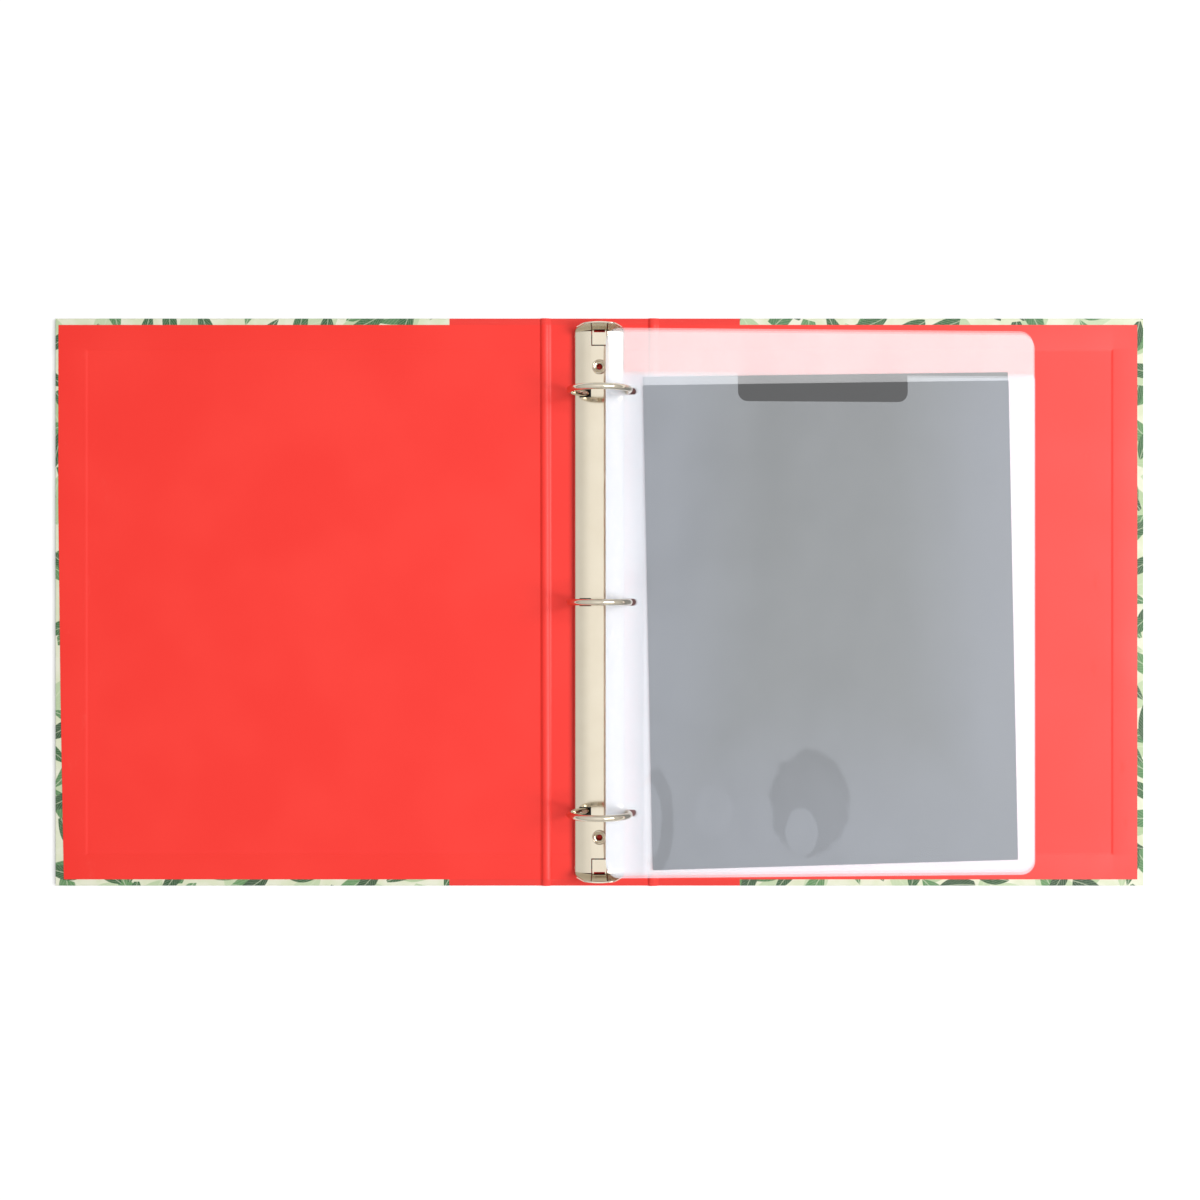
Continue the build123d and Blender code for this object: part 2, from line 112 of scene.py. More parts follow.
class Finish:
    """A material, or the studio's surroundings, under construction."""

    def __init__(self, name, owner=None):
        self.owner = owner or bpy.data.materials.new(name)
        self.owner.use_nodes = True
        self.tree = self.owner.node_tree
        self.tree.nodes.clear()

    def add(self, kind, settings=None, sockets=None, output=0):
        """Add a node: its settings first, then the values or links of its sockets."""
        node = self.tree.nodes.new(kind)
        for name, value in (settings or {}).items():
            setattr(node, name, value)
        for name, value in (sockets or {}).items():
            if isinstance(value, Value):
                self.tree.links.new(value.socket, node.inputs[name])
            else:
                node.inputs[name].default_value = value
        return Value(self, node.outputs[output] if node.outputs else None)

    def place(self):
        """Where a point of the piece is, in millimetres."""
        spot = self.add("ShaderNodeTexCoord", output="Object")
        return self.add(
            "ShaderNodeVectorMath", {"operation": "SCALE"}, {0: spot, "Scale": 1000.0}
        )

    def parts(self, vector):
        return [
            self.add("ShaderNodeSeparateXYZ", None, {0: vector}, output=axis) for axis in range(3)
        ]

    def stretched(self, vector, x=1.0, y=1.0, z=1.0, turn=0.0):
        return self.add(
            "ShaderNodeMapping",
            None,
            {"Vector": vector, "Scale": (x, y, z), "Rotation": (0.0, 0.0, turn)},
        )

    def noise(self, vector, size, detail=2.0, rough=0.5):
        """Cloudy pattern from 0 to 1 with lumps of about this size in millimetres."""
        return self.add(
            "ShaderNodeTexNoise",
            None,
            {"Vector": vector, "Scale": 1.0 / size, "Detail": detail, "Roughness": rough},
        )

    def step(self, value, low, high, start=0.0, end=1.0):
        """Smooth change from start to end as the value goes from low to high."""
        return self.add(
            "ShaderNodeMapRange",
            {"interpolation_type": "SMOOTHSTEP"},
            {"Value": value, "From Min": low, "From Max": high, "To Min": start, "To Max": end},
        )

    def mix(self, share, first, second):
        """Colour between first and second."""
        first, second = ((*c, 1.0) if isinstance(c, tuple) else c for c in (first, second))
        return self.add(
            "ShaderNodeMix",
            {"data_type": "RGBA", "clamp_factor": True},
            {0: share, 6: first, 7: second},
            output=2,
        )

    def threads(self, along, pitch, uneven):
        """Threads: humps from 0 to 1 at this pitch, a little uneven."""
        turns = (along / pitch + uneven * 0.8) * (2.0 * pi)
        return turns.maths("SINE", turns) * 0.5 + 0.5

    def spot(self, place, middle, reach, soft=0.15):
        """Uneven oval from 0 outside to 1 inside, given its middle and half sizes."""
        x, y, _ = self.parts(place)
        across = (x - middle[0]) / reach[0]
        along = (y - middle[1]) / reach[1]
        edge = self.noise(place, 9.0, 3.0, 0.6) * 0.7 - 0.35
        return self.step(across * across + along * along + edge, 1.0 - soft, 1.0 + soft, 1.0, 0.0)

    def bump(self, height, depth, strength=1.0):
        """Relief of this depth in millimetres where the height goes from 0 to 1."""
        return self.add(
            "ShaderNodeBump",
            None,
            {"Height": height, "Distance": depth * MM, "Strength": strength},
        )

    def surface(self, sockets):
        shader = self.add("ShaderNodeBsdfPrincipled", None, sockets)
        self.add("ShaderNodeOutputMaterial", None, {"Surface": shader})
        return self.owner


def fibre_grain(finish, place, size):
    """Short paper fibres lying both ways."""
    along = finish.noise(finish.stretched(place, 0.35, 1.0, 1.0, 0.6), size, 3.0, 0.6)
    across = finish.noise(finish.stretched(place, 1.0, 0.3, 1.0, -0.4), size * 1.3, 3.0, 0.6)
    return (along + across) * 0.5


def red_lining():
    """Smooth plain red paper, faintly clouded, rubbed at its edges, with painted shade round the rings."""
    f = Finish("red_lining_paper")
    place = f.place()
    x, y, _ = f.parts(place)
    grain = fibre_grain(f, place, 0.6)
    clouds = f.noise(place, 60.0, 2.0)
    ripple = f.noise(f.stretched(place, 0.25, 1.0), 5.0, 2.0)
    colour = f.mix(f.step(clouds, 0.35, 0.7), (0.93, 0.028, 0.017), (0.96, 0.036, 0.023))
    colour = f.mix(f.step(grain, 0.3, 0.75) * 0.10, colour, (0.82, 0.020, 0.014))
    outer = f.step(abs(x), 245.0, 262.0)
    rubs = f.step(f.noise(f.stretched(place, 1.0, 0.35), 7.0, 4.0, 0.7), 0.60, 0.75) * outer
    colour = f.mix(rubs * 0.16, colour, (0.97, 0.12, 0.09))
    along = abs(y).maths("MINIMUM", abs(y), abs(abs(y) - 108.6))  # from the nearest ring
    across = x - 16.8
    # Painted shade: the lining is darkened round each ring, standing in for the shadow under the pages' holes.
    ring_hole_shade = f.step(across * across + along * along + clouds * 6.0, 16.0, 30.0, 1.0, 0.0)
    colour = f.mix(ring_hole_shade * 0.9, colour, (0.22, 0.16, 0.16))
    height = grain * 0.6 + ripple * 0.8
    return f.surface(
        {
            "Base Color": colour,
            "Roughness": f.step(clouds, 0.2, 0.8, 0.42, 0.5) + rubs * 0.1,
            "Specular IOR Level": 0.45,
            "Normal": f.bump(height, 0.05, 0.35),
        }
    )


def red_cloth():
    """Red book cloth: fine plain weave under a thin coat."""
    f = Finish("red_spine_cloth")
    place = f.place()
    x, y, _ = f.parts(place)
    uneven = f.noise(place, 2.0, 2.0)
    warp = f.threads(x, 0.42, uneven)
    weft = f.threads(y, 0.48, uneven)
    weave = warp.maths("MAXIMUM", warp, weft)
    slubs = f.step(f.noise(f.stretched(place, 0.08, 1.0), 0.9, 2.0), 0.58, 0.8)
    colour = f.mix(weave, (0.76, 0.030, 0.022), (0.93, 0.050, 0.038))
    colour = f.mix(slubs * 0.3, colour, (0.93, 0.10, 0.08))
    return f.surface(
        {
            "Base Color": colour,
            "Roughness": f.step(weave, 0.0, 1.0, 0.72, 0.58),
            "Specular IOR Level": 0.35,
            "Sheen Weight": 0.05,
            "Normal": f.bump(weave + slubs * 0.4, 0.06, 0.6),
        }
    )


def leaf_layer(f, place, size, seed, slender=0.34):
    """Scattered leaves of this length: how much leaf a point has, and its rib lines."""
    moved = f.add(
        "ShaderNodeVectorMath", {"operation": "ADD"}, {0: place, 1: (seed, seed * 1.7, 0.0)}
    )
    x, y, _ = f.parts(moved)
    flat = f.add("ShaderNodeCombineXYZ", None, {0: x, 1: y, 2: 0.0})
    sockets = {"Vector": flat, "Scale": 1.0 / size, "Randomness": 0.75}
    settings = {"voronoi_dimensions": "2D", "feature": "F1"}
    chance = f.add("ShaderNodeTexVoronoi", settings, sockets, output="Color")
    centre = Value(f, chance.socket.node.outputs["Position"])
    offset = f.add("ShaderNodeVectorMath", {"operation": "SUBTRACT"}, {0: flat, 1: centre})
    pick, tone, _ = f.parts(chance)
    turned = f.add(
        "ShaderNodeVectorRotate",
        {"rotation_type": "Z_AXIS"},
        {"Vector": offset, "Angle": pick * (2.0 * pi)},
    )
    along, across, _ = f.parts(turned)
    along = along / (size * 0.62)
    across = (across + along * along * size * 0.07) / (size * slender)
    body = 1.0 - along * along
    width = body * f.step(along, -1.0, 0.6, 1.15, 0.75)
    leaf = f.step(width - abs(across), 0.0, 0.10)
    rib = f.step(abs(across), 0.03, 0.07, 1.0, 0.0)
    sweep = abs(across) * 1.1 - along * 1.9
    veins = f.step(sweep.maths("PINGPONG", sweep, 0.16), 0.0, 0.035, 1.0, 0.0)
    lines = rib.maths("MAXIMUM", rib, veins * 0.7)
    return leaf, lines, tone


def leaf_paper():
    """Matt paper printed all over with green leaves on a cream ground."""
    f = Finish("leaf_print_paper")
    place = f.place()
    grain = fibre_grain(f, place, 0.5)
    cloud = f.noise(place, 9.0, 3.0)
    colour = f.mix(f.step(cloud, 0.3, 0.7), (0.70, 0.75, 0.52), (0.82, 0.83, 0.66))
    for size, seed, dark, light, slender in (
        (27.0, 3.0, (0.42, 0.56, 0.31), (0.58, 0.68, 0.44), 0.24),
        (24.0, 41.0, (0.055, 0.18, 0.06), (0.12, 0.28, 0.10), 0.22),
        (20.0, 87.0, (0.010, 0.055, 0.014), (0.03, 0.13, 0.035), 0.22),
    ):
        leaf, lines, tone = leaf_layer(f, place, size, seed, slender)
        shade = f.mix(tone, dark, light)
        shade = f.mix(lines * 0.55, shade, (0.66, 0.74, 0.52))
        colour = f.mix(leaf, colour, shade)
    colour = f.mix(f.step(grain, 0.35, 0.8) * 0.12, colour, (0.86, 0.86, 0.78))
    return f.surface(
        {
            "Base Color": colour,
            "Roughness": f.step(grain, 0.2, 0.8, 0.52, 0.66),
            "Specular IOR Level": 0.4,
            "Normal": f.bump(grain, 0.05, 0.4),
        }
    )


def millboard():
    """Grey board with flecks and laid fibres."""
    f = Finish("grey_millboard")
    place = f.place()
    grain = fibre_grain(f, place, 0.9)
    flecks = f.step(f.noise(place, 0.5, 4.0, 0.75), 0.60, 0.72)
    layers = f.noise(f.stretched(place, 0.1, 0.1, 1.0), 0.25, 2.0)
    colour = f.mix(grain, (0.22, 0.20, 0.17), (0.36, 0.33, 0.28))
    colour = f.mix(flecks * 0.5, colour, (0.12, 0.11, 0.10))
    colour = f.mix(f.step(layers, 0.4, 0.7) * 0.25, colour, (0.42, 0.39, 0.34))
    return f.surface(
        {
            "Base Color": colour,
            "Roughness": 0.9,
            "Normal": f.bump(grain + layers * 0.5, 0.12, 0.7),
        }
    )


def nickel():
    """Bright warm nickel plate with polishing lines along the spine and small specks."""
    f = Finish("bright_nickel")
    place = f.place()
    lines = f.noise(f.stretched(place, 1.0, 0.03, 1.0), 0.35, 3.0, 0.6)
    cloud = f.noise(place, 14.0, 3.0)
    specks = f.step(f.noise(place, 0.7, 2.0), 0.70, 0.78)
    colour = f.mix(cloud, (0.62, 0.55, 0.435), (0.68, 0.62, 0.505))
    colour = f.mix(specks * 0.35, colour, (0.45, 0.42, 0.37))
    rough = f.step(cloud, 0.3, 0.7, 0.07, 0.13) + f.step(lines, 0.45, 0.75) * 0.05 + specks * 0.2
    return f.surface(
        {
            "Base Color": colour,
            "Metallic": 1.0,
            "Roughness": rough,
            "Normal": f.bump(lines * 0.5 + specks, 0.01, 0.25),
        }
    )


def painted_shade_steel():
    """Zinc-plated steel, painted near black as shade for the dark inside of the shield, and a little cloudy."""
    f = Finish("steel_painted_dark_as_shade")
    place = f.place()
    cloud = f.noise(place, 3.0, 4.0, 0.65)
    lines = f.noise(f.stretched(place, 1.0, 0.05, 1.0), 0.4, 2.0)
    return f.surface(
        {
            # Painted shade: near-black base colour for the dark inside of the shield.
            "Base Color": f.mix(cloud, (0.045, 0.045, 0.045), (0.10, 0.10, 0.095)),
            "Metallic": 1.0,
            "Roughness": f.step(cloud, 0.3, 0.7, 0.38, 0.55),
            "Normal": f.bump(lines, 0.02, 0.4),
        }
    )


def film_gloss(f, place):
    """Roughness and shallow waves that every film of a page shares."""
    haze = f.noise(place, 35.0, 2.0)
    grain = f.noise(place, 0.35, 2.0)
    wave = f.noise(f.stretched(place, 1.0, 0.5, 1.0), 28.0, 1.0)
    return haze, {
        "Roughness": f.step(haze, 0.3, 0.7, 0.30, 0.40),
        "Specular IOR Level": 0.5,
        "Normal": f.bump(wave * 8.0 + grain * 0.05, 0.2, 0.35),
    }


def backing_film():
    """Frosted clear film of a page's back, with painted shade beside the card, where the film dips."""
    f = Finish("frosted_backing_film")
    place = f.place()
    x, y, _ = f.parts(place)
    haze, sockets = film_gloss(f, place)
    colour = f.mix(haze, (0.93, 0.94, 0.96), (0.98, 0.98, 0.98))
    beside_card = f.step(x, 12.0, 22.0) * f.step(x, 22.2, 23.6, 1.0, 0.0)
    dip_shade = beside_card * f.step(y, 114.0, 120.0, 1.0, 0.0)
    # Painted shade: the film's colour is greyed beside the card, standing in for shadow.
    colour = f.mix(dip_shade * 0.8, colour, (0.60, 0.61, 0.63))
    sockets["Base Color"] = colour
    sockets["Alpha"] = f.step(haze, 0.3, 0.7, -0.008, 0.008) + f.step(x, 30.0, 210.0, 0.18, 0.15)
    return f.surface(sockets)


def pocket_film():
    """Frosted clear film over the card. Where it clings to the card it is clearer."""
    f = Finish("frosted_pocket_film")
    place = f.place()
    x, y, _ = f.parts(place)
    haze, sockets = film_gloss(f, place)
    sides = f.step(abs(x - 118.0), 25.0, 90.0)
    low = f.step(y, -30.0, -120.0)
    edge = sides.maths("MAXIMUM", sides, low)
    sockets["Base Color"] = f.mix(edge, (0.82, 0.87, 0.91), (0.83, 0.89, 1.0))
    lifted = f.spot(place, (104.0, -118.0), (8.5, 12.5))
    low_cling = f.spot(place, (108.0, -103.5), (20.5, 27.5)) * (1.0 - lifted)
    lifted = f.spot(place, (25.5, -112.0), (6.5, 19.0))
    edge_cling = f.spot(place, (29.0, -112.0), (9.0, 27.0)) * (1.0 - lifted)
    clings = low_cling - f.spot(place, (58.5, -107.0), (9.8, 13.0)) * 0.3 + edge_cling
    sockets["Alpha"] = f.step(haze, 0.3, 0.7, 0.124, 0.137) + edge * 0.026 - clings * 0.036
    return f.surface(sockets)


def weld_film():
    """The two films melted into one, nearly clear."""
    f = Finish("welded_film")
    place = f.place()
    haze, sockets = film_gloss(f, place)
    sockets["Base Color"] = f.mix(haze, (0.86, 0.87, 0.89), (0.93, 0.93, 0.93))
    sockets["Alpha"] = f.step(haze, 0.3, 0.7, 0.02, 0.035)
    return f.surface(sockets)


def grey_card():
    """Plain dark grey card with a fine tooth."""
    f = Finish("grey_backing_card")
    place = f.place()
    grain = fibre_grain(f, place, 0.5)
    cloud = f.noise(place, 50.0, 2.0)
    colour = f.mix(grain, (0.068, 0.069, 0.071), (0.100, 0.101, 0.103))
    colour = f.mix(f.step(cloud, 0.35, 0.7) * 0.4, colour, (0.098, 0.101, 0.106))
    return f.surface(
        {
            "Base Color": colour,
            "Roughness": f.step(grain, 0.2, 0.8, 0.62, 0.78),
            "Specular IOR Level": 0.4,
            "Normal": f.bump(grain, 0.05, 0.4),
        }
    )


finishes = {
    "lining_paper": red_lining(),
    "spine_cloth": red_cloth(),
    "cover_paper": leaf_paper(),
    "greyboard": millboard(),
    "nickel": nickel(),
    "painted_shade_steel": painted_shade_steel(),
    "page_film": backing_film(),
    "pocket_film": pocket_film(),
    "film_weld": weld_film(),
    "backing_card": grey_card(),
}

slots = {row["node"]: row["material_slot"] for row in frame["record"]["subparts"]}
for name, node in nodes.items():
    node.data.materials.clear()
    node.data.materials.append(finishes[slots[name]])
# The blades and pins under the shield take the near-black steel: painted shade.
for name in ("left_blade", "right_blade", "head_lever_pin", "tail_lever_pin"):
    nodes[name].data.materials[0] = finishes["painted_shade_steel"]


# ---------------------------------------------------------------- workbench


def only(piece):
    """Select one piece alone, so that an operator acts on nothing else."""
    if bpy.context.mode != "OBJECT":
        bpy.ops.object.mode_set(mode="OBJECT")
    bpy.ops.object.select_all(action="DESELECT")
    piece.select_set(True)
    bpy.context.view_layer.objects.active = piece


def blank(low, high, height):
    """Flat rectangle from low to high at this height."""
    bpy.ops.mesh.primitive_plane_add(
        size=1.0, location=((low[0] + high[0]) / 2, (low[1] + high[1]) / 2, height)
    )
    piece = bpy.context.object
    piece.scale = (high[0] - low[0], high[1] - low[1], 1.0)
    bpy.ops.object.transform_apply(location=True, rotation=True, scale=True)
    return piece


def open_up(piece):
    only(piece)
    bpy.ops.object.mode_set(mode="EDIT")
    bpy.ops.mesh.select_mode(type="VERT")
    bpy.ops.mesh.select_all(action="DESELECT")


def pick(piece, wanted):
    """In edit mode, select the points that are wanted, and the edges and faces between them."""
    bpy.ops.mesh.select_all(action="DESELECT")
    mesh = bmesh.from_edit_mesh(piece.data)
    for point in mesh.verts:
        if wanted(point.co):
            point.select = True
    mesh.select_flush(True)
    bmesh.update_edit_mesh(piece.data)


def score(place, across):
    """Cut a line right across the piece that is open."""
    bpy.ops.mesh.select_all(action="SELECT")
    bpy.ops.mesh.bisect(plane_co=place, plane_no=across)


def lift(piece, wanted, move):
    pick(piece, wanted)
    bpy.ops.transform.translate(value=move)


def modify(piece, kind, **settings):
    """Add a modifier to a piece and apply it."""
    only(piece)
    modifier = piece.modifiers.new(kind.lower(), kind)
    for name, value in settings.items():
        setattr(modifier, name, value)
    bpy.ops.object.modifier_apply(modifier=modifier.name)


def tidy(piece, angle=35.0):
    """Close doubled points, turn the faces outward and smooth the gentle edges."""
    open_up(piece)
    bpy.ops.mesh.select_all(action="SELECT")
    bpy.ops.mesh.remove_doubles(threshold=0.001 * MM)
    bpy.ops.mesh.normals_make_consistent(inside=False)
    bpy.ops.object.mode_set(mode="OBJECT")
    bpy.ops.object.shade_smooth_by_angle(angle=radians(angle))


def hand_over(piece, name, slot, stands_for, body=None):
    """Name a finished piece, give it its finish, and set it on its body."""
    piece.name = name
    piece.data.name = name
    piece.data.materials.clear()
    piece.data.materials.append(finishes[slot])
    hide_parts(*stands_for)
    if body:
        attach(piece, body)
    return piece


def cut(piece, tools):
    """Cut the tools' shapes out of a piece."""
    for tool in tools:
        modify(piece, "BOOLEAN", object=tool, operation="DIFFERENCE", solver="EXACT")


def discard(tools):
    for tool in tools:
        bpy.data.objects.remove(tool)


# ---------------------------------------------------------------- lining and hinges

TURN_IN = 15.0 * MM
# Section of the step off the turned-in covering, in mm: distance inside its edge, depth
STEP_DOWN = ((0.6, 0.0), (1.0, 0.04), (1.4, 0.125), (1.8, 0.21), (2.2, 0.25))


def drop_at(distance):
    """How far the lining has come down off the turned-in covering, this far inside its edge."""
    fallen = 0.0
    for reach, depth in STEP_DOWN:
        if distance >= reach * MM - 1e-6:
            fallen = depth * MM
    return fallen


def step_down(piece, outward=0):
    """Lower a lining where the turned-in covering under it ends."""
    head_line = half_height - TURN_IN
    side_line = cover_end - TURN_IN
    for reach, _ in STEP_DOWN:
        for end in (-1, 1):
            score((0, end * (head_line - reach * MM), 0), (0, 1, 0))
        if outward:
            score((outward * (side_line - reach * MM), 0, 0), (1, 0, 0))
    for depth in (depth for _, depth in STEP_DOWN if depth):
        lift(
            piece,
            lambda p: p.z > lining_top - 1e-6
            and abs(
                min(
                    drop_at(head_line - abs(p.y)),
                    drop_at(side_line - abs(p.x)) if outward else 1.0,
                )
                - depth * MM
            )
            < 1e-7,
            (0, 0, -depth * MM),
        )


# Where the front lining's fore edge was trimmed, in mm: place along it, margin of covering left
FRONT_EDGE = ((144.1, 1.8), (53.0, 1.7), (-51.0, 2.9), (-113.0, 4.0), (-144.1, 4.6))


def lining_sheet(name, node, body, edge=()):
    """Lining paper glued over the turned-in covering, with a soft step down inside it."""
    low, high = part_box(node)
    outward = 0 if body == "spine" else (1 if high.x > 0 else -1)
    piece = blank(low, high, high.z)
    open_up(piece)
    for place, _ in edge[1:-1]:
        score((0, place * MM, 0), (0, 1, 0))
    for place, margin in edge:
        move = outward * (cover_end - margin * MM) - (high.x if outward > 0 else low.x)
        lift(
            piece,
            lambda p: p.x * outward > half_spine * 5 and abs(p.y - place * MM) < 0.1 * MM,
            (move, 0, 0),
        )
    step_down(piece, outward)
    bpy.ops.object.mode_set(mode="OBJECT")
    modify(piece, "SOLIDIFY", thickness=paper, offset=-1.0)
    tidy(piece)
    return hand_over(piece, name, "lining_paper", [node], body)


# Section of the low fold between the boards, in mm: distance out from the spine, rise
FRONT_FOLD = (
    (0.0, 0.0), (0.4, 0.10), (0.9, 0.40), (1.5, 0.76), (2.1, 0.96), (3.2, 1.02), (4.2, 0.98),
    (4.7, 0.82), (5.1, 0.46), (5.5, 0.08), (6.0, 0.0),
)
BACK_FOLD = (
    (0.0, 0.0), (0.35, 0.08), (0.75, 0.50), (1.15, 0.88), (1.7, 1.00), (2.8, 1.02), (3.7, 0.94),
    (4.3, 0.68), (4.9, 0.34), (5.5, 0.08), (6.0, 0.0),
)
FRONT_LEAN = 0.35 * MM
BACK_LEAN = 0.15 * MM


def score_fold(side, section):
    for place, _ in section[1:-1]:
        score((side * (half_spine + place * MM), 0, 0), (1, 0, 0))


def fold_up(piece, side, section, lean, above=0.0):
    """Raise the slack of a hinge into a low fold that leans a little from head to tail."""
    for place, rise in section[1:-1]:
        across = side * (half_spine + place * MM)
        lift(
            piece,
            lambda p: abs(p.x - across) < 0.02 * MM and p.z > above,
            (0, 0, rise * MM),
        )
    rows = sorted({round(v.co.y, 6) for v in bmesh.from_edit_mesh(piece.data).verts})
    for row in rows:
        lift(
            piece,
            lambda p: abs(p.y - row) < 1e-6
            and half_spine + 0.3 * MM < abs(p.x) < cover_start - 0.3 * MM
            and p.z > above,
            (side * lean * row / half_height, 0, 0),
        )


def hinge_pieces(side, prefix, section, lean):
    """Cloth and lining across one hinge."""
    inner, outer = sorted((side * half_spine, side * cover_start))
    lining = blank((inner, -lining_end), (outer, lining_end), lining_top)
    open_up(lining)
    step_down(lining)
    score_fold(side, section)
    for row in range(-5, 6):
        score((0, row * lining_end / 6, 0), (0, 1, 0))
    fold_up(lining, side, section, lean)
    bpy.ops.object.mode_set(mode="OBJECT")
    modify(lining, "SOLIDIFY", thickness=paper, offset=-1.0)
    tidy(lining, 60.0)
    hand_over(lining, prefix + "_hinge_fold_lining", "lining_paper", [prefix + "_hinge_lining"])

    end = half_height - paper / 2
    cloth = blank((inner, -end), (outer, end), paper / 2)
    open_up(cloth)
    score_fold(side, section)
    for side_end in (-1, 1):
        pick(cloth, lambda p: abs(p.y - side_end * end) < 1e-6 and p.z < paper)
        bpy.ops.mesh.extrude_region_move(
            TRANSFORM_OT_translate={"value": (0, 0, case_top - paper)}
        )
        bpy.ops.mesh.extrude_region_move(
            TRANSFORM_OT_translate={"value": (0, -side_end * TURN_IN, 0)}
        )
    fold_up(cloth, side, section, lean, board_top / 2)
    bpy.ops.object.mode_set(mode="OBJECT")
    modify(cloth, "SOLIDIFY", thickness=paper * 0.9, offset=0.0)
    tidy(cloth, 60.0)
    hand_over(cloth, prefix + "_hinge_fold_cloth", "spine_cloth", [prefix + "_hinge_cloth"])
    for piece in (lining, cloth):
        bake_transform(piece)


lining_sheet("front_lining_sheet", "front_lining", "front_cover", FRONT_EDGE)
lining_sheet("back_lining_sheet", "back_lining", "back_cover")
lining_sheet("spine_lining_sheet", "spine_lining", "spine")
hinge_pieces(-1, "front", FRONT_FOLD, FRONT_LEAN)
hinge_pieces(1, "back", BACK_FOLD, BACK_LEAN)


# ---------------------------------------------------------------- pocket pages

ring_centre = next(j for j in frame["joints"] if j["name"] == "bottom_page_lift")["pos_m"][2]
PAGE_SLOPE = radians(2.956)
PAGE_WIDTH = 222.6 * MM
PAGE_HEIGHT = 279.4 * MM
PAGE_CORNER = 7.2 * MM
FILM = 0.2 * MM
POCKET = 0.5 * MM
PAGE_PITCH = 1.2 * MM
LOWEST_DROP = 6.15 * MM
BINDING_EDGE = 3.493 * MM
BINDING_STRIP = 19.0 * MM
SEAM = 2.2 * MM
MOUTH = 22.5 * MM
HOLE_REACH = (16.53 * MM, 16.13 * MM, 15.60 * MM)
HOLE_HALF_WIDTH = 1.8 * MM
HOLE_STRETCH = 1.65 * MM
RING_SPACING = 107.95 * MM
NOTCH_LENGTH = 88.0 * MM
NOTCH_DEPTH = 12.7 * MM
NOTCH_CORNER = 5.0 * MM
NOTCH_SHIFT = 0.5 * MM
PAGE_SHIFTS = (-1.4 * MM, -0.2 * MM, 1.0 * MM)


def round_corners(piece, wanted, radius):
    open_up(piece)
    pick(piece, wanted)
    bpy.ops.mesh.bevel(offset=radius, segments=10, affect="VERTICES")
    bpy.ops.object.mode_set(mode="OBJECT")


def lay_on_page(piece, number, height):
    """Tilt a flat piece onto its page, this far above the page's underside."""
    drop = LOWEST_DROP - (3 - number) * PAGE_PITCH - height
    piece.rotation_euler = (0.0, PAGE_SLOPE, 0.0)
    piece.location = (-sin(PAGE_SLOPE) * drop, 0.0, ring_centre - cos(PAGE_SLOPE) * drop)
    only(piece)
    bpy.ops.object.transform_apply(location=True, rotation=True, scale=True)


def ring_punches(number):
    """Punches for a page's ring holes. They are long enough for the rings to swing open."""
    punches = []
    for row in (-1, 0, 1):
        bpy.ops.mesh.primitive_cylinder_add(
            vertices=48, radius=HOLE_HALF_WIDTH, depth=8 * MM,
            location=(HOLE_REACH[number - 1], row * RING_SPACING, 0),
        )
        punch = bpy.context.object
        bpy.ops.object.transform_apply(location=True, rotation=True, scale=True)
        open_up(punch)
        for side in (-1, 1):
            lift(
                punch,
                lambda p: side * (p.x - HOLE_REACH[number - 1]) > 0.01 * MM,
                (side * HOLE_STRETCH, 0, 0),
            )
        bpy.ops.object.mode_set(mode="OBJECT")
        punches.append(punch)
    return punches


